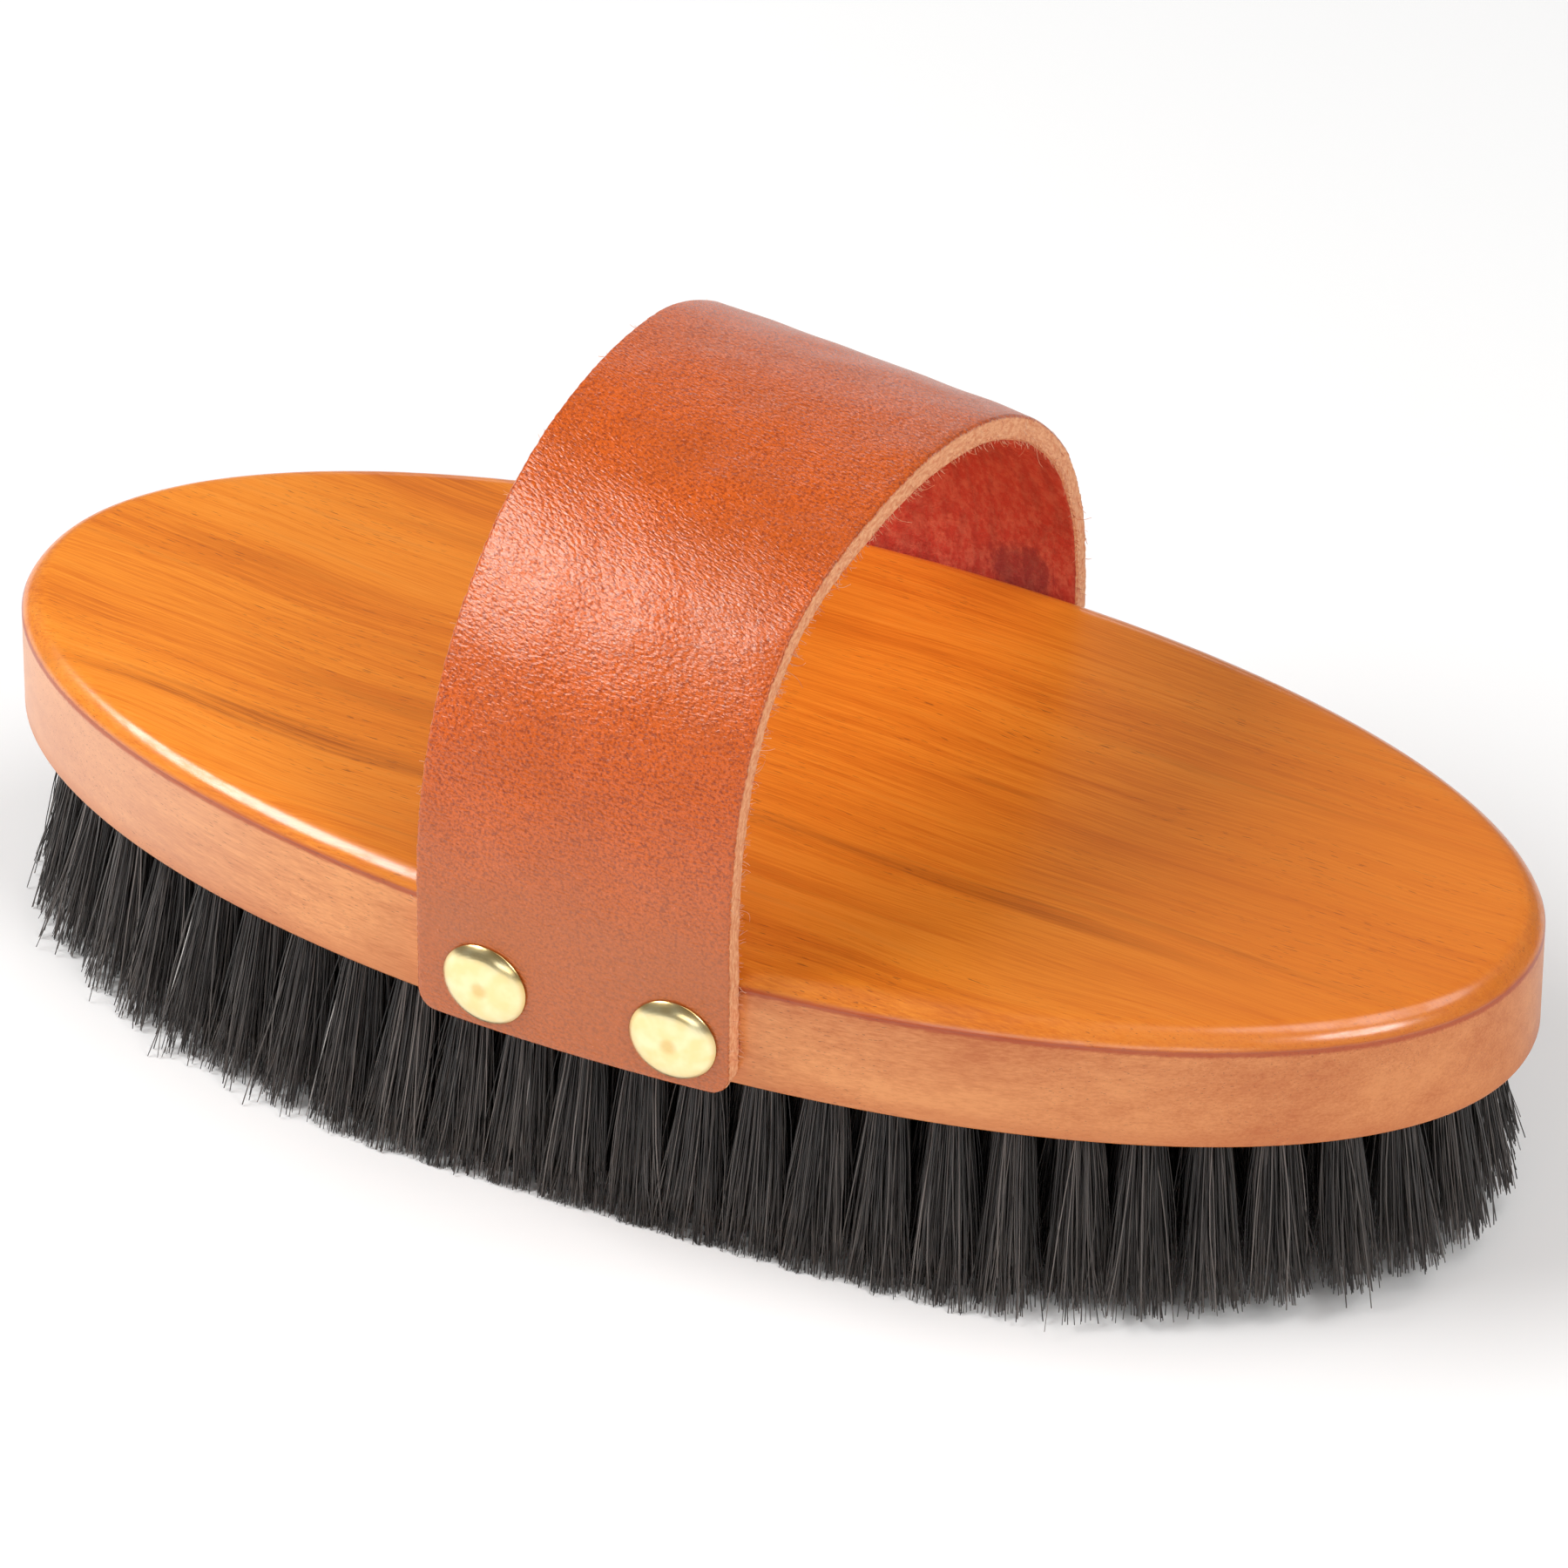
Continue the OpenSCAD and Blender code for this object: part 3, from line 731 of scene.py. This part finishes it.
hairSpec = {
    "seed": 100,
    "outerCount": 205, "innerCount": 170,   # hairs in a bunch
    "points": 6,               # along each hair
    "rootSpread": 2.15 * mm,   # radius of the bunch where it leaves its hole
    "tipSpread": 4.7 * mm,     # half width of the bunch at the trimmed end
    "tipFullness": 4.5,        # 2 is a round bunch at the trimmed end, more is squarer
    "tipScatter": 0.16,        # as a share of tipSpread
    "innerSpread": 0.35,       # how much wider the inner bunches spread towards the ends
    "openOut": 1.7 * mm,       # how much further the outer tips stand out than their tufts' middles
    "openEnds": 0.9 * mm,      # and how much more at the two ends
    # where these begin and how far they take to come in full, as shares of the half length
    "openEndsFrom": (0.6, 0.3), "innerSpreadFrom": (0.45, 0.2), "cutRightFrom": (0.42, 0.4),
    "innerReach": 0.8,         # a bunch nearer the middle than this share of the oval is an inner one
    "lean": 0.30 * mm,         # of a whole bunch
    "clumps": 12, "clumpPull": 0.6, "clumpScatter": 0.45,
    "strayShare": 0.06, "strayReach": 2.4 * mm,
    "rootDepth": 1.2 * mm,     # how deep in the wood the hairs start
    "floorGap": 0.03 * mm,     # under the longest hairs
    "cutRight": 3.2 * mm,      # how much shorter the right end is trimmed
    "tuftTrim": 0.10 * mm, "hairTrim": 0.16 * mm,
    "shortShare": 0.08, "shortBy": 7 * mm,
    "flare": 1.25,             # 1 spreads evenly from root to tip, more keeps the root narrow
    "bow": 0.5 * mm, "wave": 0.22 * mm,
    "tipRoom": 1.0 * mm, "pathRoom": 0.2 * mm,   # kept free inside the outline's box
    "tipSoftness": 2.5 * mm,   # over how far the tips draw in there
    "strandRadius": 0.13 * mm, "thickness": (0.72, 1.2), "taper": 0.42,
    "whiteShare": 0.009,
}


def tuftPlaces(node):
    # root and tip of each tuft in a CAD node, found from the separate solids of its mesh
    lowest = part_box(node)[0].z
    shape = bmesh.new()
    shape.from_mesh(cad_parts[node].data)
    bmesh.ops.remove_doubles(shape, verts=shape.verts, dist=1e-6)
    unseen = set(shape.verts)
    places = []
    while unseen:
        solid, waiting = set(), [unseen.pop()]
        while waiting:
            vertex = waiting.pop()
            solid.add(vertex)
            for link in vertex.link_edges:
                other = link.other_vert(vertex)
                if other in unseen:
                    unseen.discard(other)
                    waiting.append(other)
        spots = np.array([v.co for v in solid])
        tip = spots[spots[:, 2] < lowest + 0.5 * mm].mean(0)
        root = spots[np.abs(spots[:, 2] - backBottom) < 0.8 * mm].mean(0)
        places.append((root, tip))
    shape.free()
    places.sort(key=lambda p: (round(p[0][0], 5), round(p[0][1], 5)))
    return places


def blackHair():
    hair = Recipe("blackHair")
    tone = hair.number("strandTone")
    run = hair.number("strandRun")
    colour = hair.ramp(tone, [
        (0.0, srgb(36, 33, 32)), (0.50, srgb(66, 61, 59)), (0.82, srgb(102, 95, 91)),
        (0.95, srgb(130, 121, 116)), (0.985, srgb(160, 152, 148)), (1.0, srgb(222, 217, 212))])
    patchy = hair.cloud(hair.place(), scale=0.6, detail=2)
    colour = hair.mix(run.rise(0.55, 1.0) * 0.30 * patchy.rise(0.35, 0.7), colour, srgb(92, 74, 62))
    # painted shade: each hair darkens to near black over the quarter of its length next to the wood
    colour = hair.mix(run.rise(0.25, 0.0) * 0.65, colour, srgb(7, 7, 7))
    return hair.finish(Base_Color=colour, Roughness=0.34 + 0.14 * patchy, IOR=1.6)


def clumped(disc, random):
    # hairs draw together in small clumps inside each bunch
    tufts, perTuft, _ = disc.shape
    centres = random.normal(0, hairSpec["clumpScatter"], (tufts, hairSpec["clumps"], 2))
    gap = np.linalg.norm(disc[:, :, None] - centres[:, None], axis=3)
    nearest = np.take_along_axis(centres, gap.argmin(2)[:, :, None].repeat(2, 2), 1)
    pull = hairSpec["clumpPull"] * random.random((tufts, perTuft, 1))
    return between(disc, nearest, pull)


def drawnIn(places):
    # tips near the sides of the outline's box move in softly, so that none leaves it
    softness = hairSpec["tipSoftness"]
    limit = np.array([halfLength, halfWidth]) - softness - hairSpec["tipRoom"]
    beyond = np.maximum(np.abs(places) - limit, 0)
    held = limit + softness * (1 - np.exp(-beyond / softness))
    return np.where(beyond > 0, np.sign(places) * held, places)


def easeIn(values, start, run):
    # 0 up to start, then a straight rise to 1, as shares of the half length
    return np.clip((values - start * halfLength) / (run * halfLength), 0, 1)


def hairEnds(roots, tips, perTuft, random):
    # discs of root places, with each tip near the same place in its own wider patch
    spec = hairSpec
    tufts = len(roots)
    reach = np.sqrt(random.random((tufts, perTuft)))
    turn = random.random((tufts, perTuft)) * 2 * math.pi
    disc = np.stack([reach * np.cos(turn), reach * np.sin(turn)], -1)
    # the trimmed ends fill a squarer patch that lies along the row, so that neighbours meet
    rowWay = np.arctan2(tips[:, :, 1] / halfWidth ** 2, tips[:, :, 0] / halfLength ** 2)
    power = spec["tipFullness"]
    cos, sin = np.abs(np.cos(turn - rowWay)), np.abs(np.sin(turn - rowWay))
    squared = (cos ** power + sin ** power) ** (-1 / power)
    tipDisc = disc * squared[:, :, None] + random.normal(0, spec["tipScatter"], disc.shape)
    tipDisc = clumped(tipDisc, random)
    lean = random.normal(0, spec["lean"], (tufts, 1, 2))
    outward = tips / np.array([halfLength, halfWidth])
    farOut = np.linalg.norm(outward, axis=2, keepdims=True)
    outward = outward / (farOut + 1e-9) * np.clip(farOut * 1.6 - 0.55, 0, 1)
    fromMiddle = np.abs(tips[:, :, :1])
    opened = outward * (spec["openOut"] + spec["openEnds"] * easeIn(fromMiddle, *spec["openEndsFrom"]))
    # the inner bunches towards the ends stand further apart, so they spread wider
    wider = spec["innerSpread"] * easeIn(fromMiddle, *spec["innerSpreadFrom"])
    wider = wider * (farOut < spec["innerReach"])
    tipAt = tips + opened + lean + tipDisc * spec["tipSpread"] * (1 + wider)
    stray = random.random((tufts, perTuft, 1)) < spec["strayShare"]
    tipAt = tipAt + stray * random.normal(0, spec["strayReach"], tipAt.shape)
    return roots + disc * spec["rootSpread"], drawnIn(tipAt)


def hairTrim(tips, perTuft, random):
    # how far above the floor each hair is cut
    spec = hairSpec
    tufts = len(tips)
    tuftTrim = np.abs(random.normal(0, spec["tuftTrim"], (tufts, 1)))
    trim = np.abs(random.normal(0, spec["hairTrim"], (tufts, perTuft))) + tuftTrim
    trim = trim + easeIn(tips[:, :, 0], *spec["cutRightFrom"]) * spec["cutRight"]
    short = random.random((tufts, perTuft)) < spec["shortShare"]
    return trim + short * random.random((tufts, perTuft)) * spec["shortBy"]


def growTufts(name, places, perTuft, finish, random):
    spec = hairSpec
    count = len(places) * perTuft
    roots = np.array([root for root, tip in places])[:, None, :2]
    tips = np.array([tip for root, tip in places])[:, None, :2]
    rootAt, tipAt = hairEnds(roots, tips, perTuft, random)
    trim = hairTrim(tips, perTuft, random).reshape(count)
    rootAt, tipAt = rootAt.reshape(count, 2), tipAt.reshape(count, 2)
    rootZ = backBottom + spec["rootDepth"]
    full = rootZ - spec["floorGap"]
    share = (full - trim) / full          # a trimmed hair stops short on the same line
    along = np.linspace(0, 1, spec["points"])[None, :] * share[:, None]
    bow = random.normal(0, spec["bow"], (count, 2))
    wave = random.normal(0, spec["wave"], (count, 2))
    phase = random.random((count, 1)) * 6.28   # anywhere on a turn
    flare = (along ** spec["flare"])[:, :, None]
    bowShape = (along * (1 - along) * 4)[:, :, None]
    waveShape = (np.sin(along * 7 + phase) * along)[:, :, None]
    flatPath = rootAt[:, None] + (tipAt - rootAt)[:, None] * flare
    flatPath = flatPath + bow[:, None] * bowShape + wave[:, None] * waveShape
    inside = np.array([halfLength, halfWidth]) - spec["pathRoom"]
    flatPath = np.clip(flatPath, -inside, inside)
    height = rootZ - along * full
    paths = np.concatenate([flatPath, height[:, :, None]], 2)
    thickness = spec["strandRadius"] * random.uniform(*spec["thickness"], (count, 1))
    radii = thickness * (1 - spec["taper"] * along)
    tones = random.random(count) ** 1.3 * 0.94   # mostly dark, and short of the white hairs' tone
    white = random.random(count) < spec["whiteShare"]
    tones = np.where(white, random.uniform(0.96, 1.0, count), tones)
    return strands(name, paths, radii, tones, finish, random)


def makeHair():
    finish = blackHair()
    names = sorted(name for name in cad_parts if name.endswith("tufts_front")
                   or name.endswith("tufts_rear") or name == "centre_tufts")
    for order, node in enumerate(names):
        random = np.random.default_rng(hairSpec["seed"] + order)
        places = tuftPlaces(node)
        perTuft = hairSpec["outerCount"] if node.startswith("outer") else hairSpec["innerCount"]
        piece = growTufts("hair_" + node, places, perTuft, finish, random)
        standFor(piece, node)
        print("hair", node, len(places), "tufts,", len(piece.data.polygons), "faces")


def spunBrass():
    brass = Recipe("spunBrass")
    place = brass.place()
    radius = brass.number("fromCentre")
    smear = brass.cloud(place, scale=0.35, detail=3)
    fine = brass.cloud(place, scale=3.0, detail=2)
    colour = brass.mix(smear.rise(0.35, 0.7), srgb(250, 226, 164), srgb(254, 240, 192))
    tarnish = radius.rise(5.2, 6.1) * 0.6 + (1 - radius.rise(0.5, 1.6)) * 0.35
    colour = brass.mix(tarnish, colour, srgb(196, 148, 62))
    rings = brass.maths("SINE", radius * 14.0 + smear * 4.0)
    normal = brass.bump(rings * 0.3 + fine, 0.008 * mm, 0.4)
    normal = brass.bump(smear, 0.03 * mm, 0.4, normal)
    return brass.finish(Base_Color=colour, Metallic=1.0, Roughness=0.17 + 0.14 * smear, Normal=normal)


def headProfile():
    # radius and height, from the middle of the dome over the rim to the middle of the hollow underside
    spec = nailSpec
    rim, rise, rimHeight = spec["headWidth"] / 2, spec["headHeight"], spec["rimHeight"]
    profile = []
    for share in np.linspace(0, 1, spec["domeRings"]) ** 0.8:
        r = (rim - spec["rimInset"]) * share
        # flatter in the middle than a ball, and steeper near the rim
        dome = 0.45 * (1 - (r / rim) ** 2) + 0.55 * (1 - (r / rim) ** 6)
        z = (rise - rimHeight) * dome + rimHeight
        z -= spec["dimpleDepth"] * math.exp(-(r / spec["dimple"]) ** 4)
        z += spec["ringHeight"] * math.exp(-((r - spec["ringAt"]) / spec["ringWidth"]) ** 2)
        profile.append((r, min(z, rise)))
    profile += [(rim, rimHeight), (rim, 0.06 * mm), (rim - 0.10 * mm, 0.0), (rim - 1.2 * mm, 0.0)]
    # a thin turned-in underside
    profile += [(rim - 1.3 * mm, 0.3 * mm), (rim * 0.5, 0.9 * mm), (0.0, 1.0 * mm)]
    return profile


def makeNailHeads():
    finish = spunBrass()
    profile = headProfile()
    around = nailSpec["around"]
    for name, wall, out in nailPlaces():
        seat = wall + out * (strapGrow + nailSpec["fit"])
        turned = out.to_track_quat("Z", "Y")
        points, radii = [], []
        for r, z in profile[1:-1]:
            for k in range(around):
                a = 2 * math.pi * k / around
                points.append(seat + turned @ Vector((r * math.cos(a), r * math.sin(a), z)))
                radii.append(r / mm)
        top, hollow = len(points), len(points) + 1
        points += [seat + out * profile[0][1], seat + out * profile[-1][1]]
        radii += [0.0, 0.0]
        rings = len(profile) - 2
        faces = [f[::-1] for f in stitchRings(rings, around)]
        last = (rings - 1) * around
        for k in range(around):
            after = (k + 1) % around
            faces.append((top, k, after))
            faces.append((hollow, last + after, last + k))
        piece = addMesh("brassHead_" + name, points, faces, finish)
        addNumbers(piece, "fromCentre", radii)
        standFor(piece, "nail_cap_" + name)


def plainSteel():
    steel = Recipe("plainSteel")
    place = steel.place()
    mottle = steel.cloud(place, scale=0.5, detail=3)
    colour = steel.mix(mottle, srgb(128, 130, 134), srgb(176, 178, 182))
    normal = steel.bump(steel.cloud(place, scale=4.0, detail=2), 0.01 * mm, 0.5)
    return steel.finish(Base_Color=colour, Metallic=1.0, Roughness=0.28 + 0.2 * mottle, Normal=normal)


def coatSteel():
    finish = plainSteel()
    for name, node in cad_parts.items():
        if name.startswith("nail_pin") or name.endswith("anchors") or "_anchors_" in name:
            node.data.materials.clear()
            node.data.materials.append(finish)


studio = {
    "azimuth": 24.0, "elevation": 37.44, "roll": 0.4, "lens": 283.2, "distance": 1.5956,
    "stand": (0, 0, 28.5 * mm),            # what the distance and angles are measured from
    "aim": (-0.6 * mm, 5.5 * mm, 35.4 * mm),
    "floorTone": (0.93, 0.93, 0.93), "floorReach": 3.0,
    "worldTone": (1.0, 0.985, 0.96), "worldStrength": 0.21,
    # azimuth, elevation, distance, width, height, watts
    "lamps": {
        "key": (-66, 45, 0.9, 0.72, 0.36, 7.0),
        "side": (60, 36, 1.0, 0.34, 0.34, 3.3),
        "back": (-160, 13, 1.0, 0.34, 0.20, 0.5),
        "above": (104, 66, 1.2, 0.80, 0.80, 4.6),
        "fill": (14, 14, 1.4, 0.90, 0.30, 1.6),
    },
}


def toward(azimuth, elevation):
    a, e = math.radians(azimuth), math.radians(elevation)
    return Vector((math.sin(a) * math.cos(e), -math.cos(a) * math.cos(e), math.sin(e)))


def makeCamera():
    spot = Vector(studio["stand"]) + toward(studio["azimuth"], studio["elevation"]) * studio["distance"]
    back = (spot - Vector(studio["aim"])).normalized()
    across = (-back).cross(Vector((0, 0, 1))).normalized()
    up = across.cross(-back)
    roll = math.radians(studio["roll"])
    rolledAcross = across * math.cos(roll) + up * math.sin(roll)
    rolledUp = up * math.cos(roll) - across * math.sin(roll)
    camera = bpy.data.objects.new("camera", bpy.data.cameras.new("camera"))
    camera.data.lens, camera.data.sensor_width = studio["lens"], 36.0
    turned = Matrix((rolledAcross, rolledUp, back)).transposed().to_4x4()
    camera.matrix_world = Matrix.Translation(spot) @ turned
    camera.data.clip_start, camera.data.clip_end = 0.05, 50
    bpy.context.scene.collection.objects.link(camera)
    bpy.context.scene.camera = camera


def makeLights():
    middle = Vector((0, 0, backTop))
    for name, (azimuth, elevation, distance, width, height, watts) in studio["lamps"].items():
        lamp = bpy.data.lights.new(name, "AREA")
        lamp.shape, lamp.energy = "ELLIPSE", watts
        lamp.size, lamp.size_y = width, height
        holder = bpy.data.objects.new(name, lamp)
        away = toward(azimuth, elevation)
        holder.location = middle + away * distance
        sideways = Vector((0, 0, 1)).cross(away).normalized()
        turned = Matrix((sideways, away.cross(sideways), away)).transposed()
        holder.rotation_mode = "QUATERNION"
        holder.rotation_quaternion = turned.to_quaternion()
        bpy.context.scene.collection.objects.link(holder)
    world = bpy.data.worlds.new("studioAir")
    world.use_nodes = True
    background = world.node_tree.nodes["Background"]
    background.inputs["Color"].default_value = (*studio["worldTone"], 1.0)
    background.inputs["Strength"].default_value = studio["worldStrength"]
    bpy.context.scene.world = world
    bpy.context.scene.view_settings.view_transform = "Standard"


def makeFloor():
    paper = Recipe("palePaper")
    tooth = paper.cloud(paper.place(), scale=0.9, detail=3)
    normal = paper.bump(tooth, 0.05 * mm, 0.2)
    finish = paper.finish(
        Base_Color=studio["floorTone"], Roughness=0.9, Normal=normal, Specular_IOR_Level=0.1)
    reach = studio["floorReach"]
    corners = [(-reach, -reach, 0), (reach, -reach, 0), (reach, reach, 0), (-reach, reach, 0)]
    floor = addMesh("floor", corners, [(0, 1, 2, 3)], finish, smooth=False)


print("wood back")
makeBack()
print("leather strap")
strapLines = makeStrap()
makeFuzz(strapLines)
print("nails")
makeNailHeads()
coatSteel()
print("hair")
makeHair()
print("studio")
makeFloor()
makeLights()
makeCamera()
